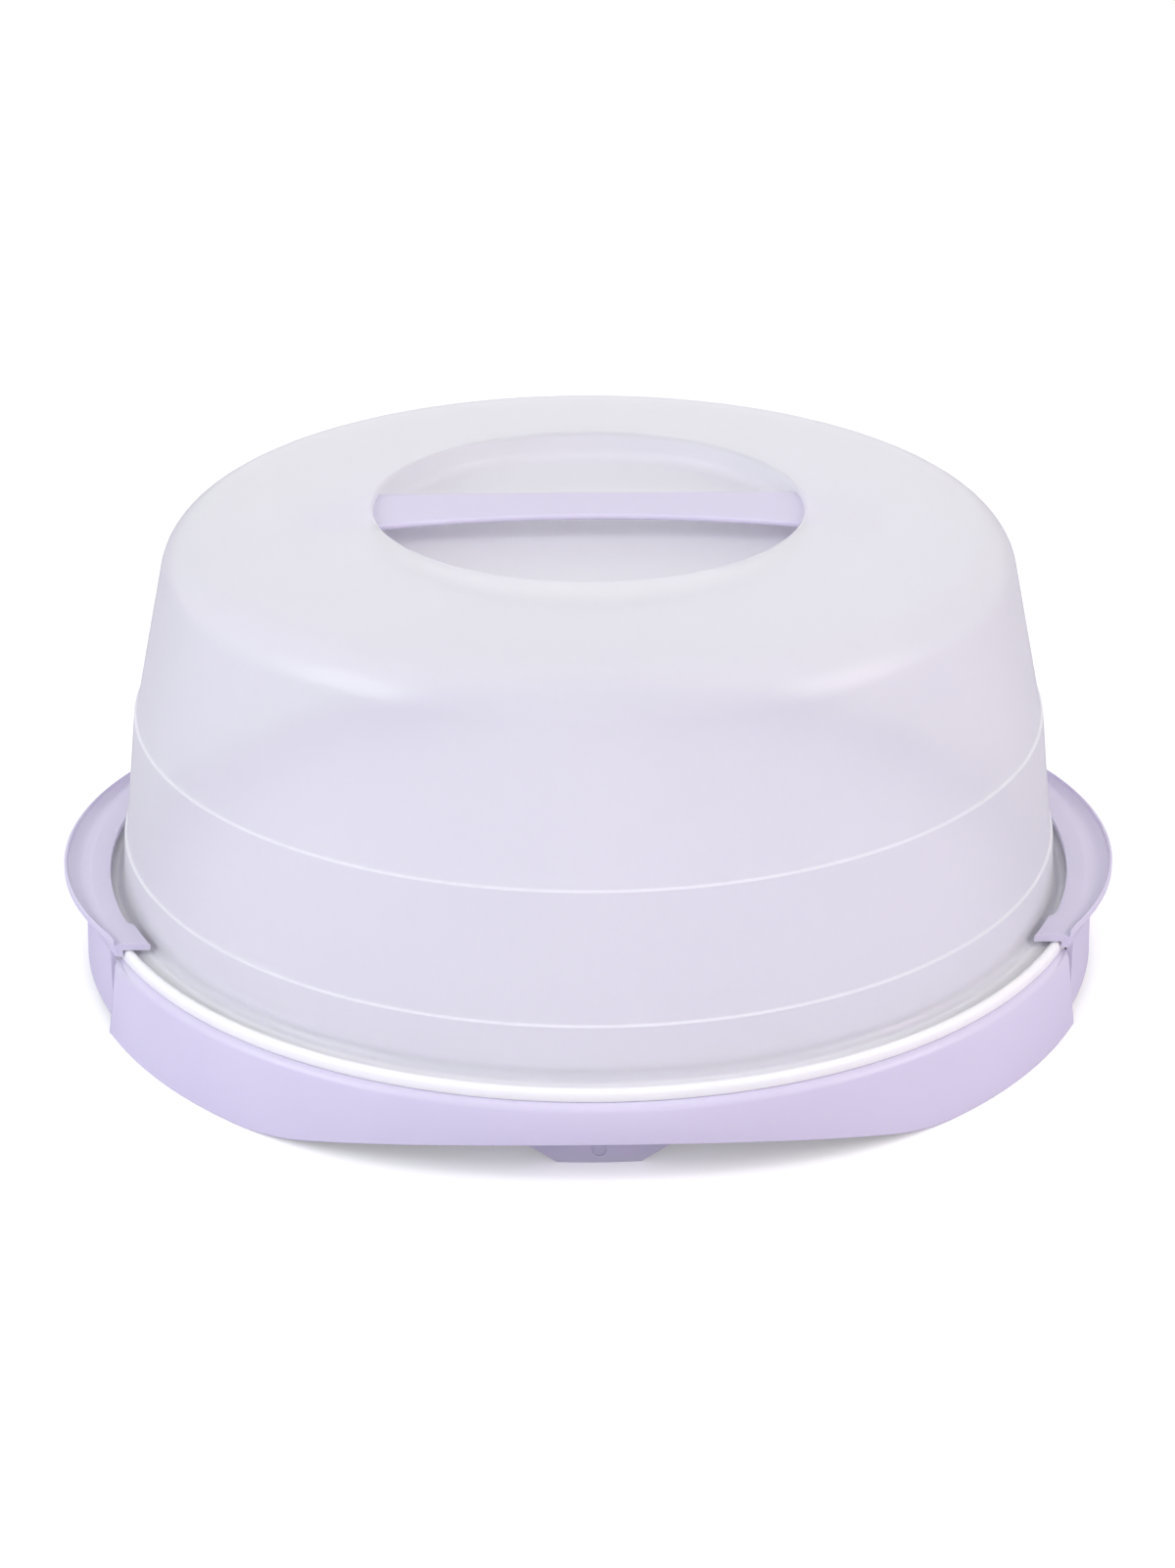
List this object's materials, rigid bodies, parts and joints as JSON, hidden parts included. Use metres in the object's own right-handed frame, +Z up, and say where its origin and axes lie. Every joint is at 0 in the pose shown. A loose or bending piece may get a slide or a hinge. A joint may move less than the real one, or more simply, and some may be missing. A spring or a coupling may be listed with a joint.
{
  "type": "cake carrier",
  "caption": "Round cake carrier: a tray with a skirt, a deep frosted lid with a recessed strap handle, and hinged side latches that hook over the lid's flange.",
  "frame": {"origin": "on the table, under the middle of the tray", "axes": "+Z up, -Y the front with the lifting arch, latches at -X and +X"},
  "size_m": [0.3492, 0.3354, 0.1549],
  "materials": {
    "lilac_tray": "injection-moulded polypropylene, satin",
    "frosted_lid": "injection-moulded translucent polypropylene, frosted",
    "lilac_handle": "injection-moulded polypropylene, satin",
    "lilac_latch": "injection-moulded polypropylene, satin"
  },
  "bodies": {
    "tray": {"tray": "lilac_tray"},
    "lid": {"lid": "frosted_lid", "handle": "lilac_handle"},
    "latch_left": {"latch_left": "lilac_latch"},
    "latch_right": {"latch_right": "lilac_latch"}
  },
  "joints": [
    {"name": "lid_lift", "type": "slide", "parent": "tray", "child": "lid", "axis": [0, 0, 1], "range_m": [0, 0.18]},
    {"name": "latch_left_hinge", "type": "hinge", "parent": "tray", "child": "latch_left", "pos_m": [-0.1614, 0, 0.008], "axis": [0, -1, 0], "range_deg": [0, 75]},
    {"name": "latch_right_hinge", "type": "hinge", "parent": "tray", "child": "latch_right", "pos_m": [0.1614, 0, 0.008], "axis": [0, 1, 0], "range_deg": [0, 75]}
  ]
}
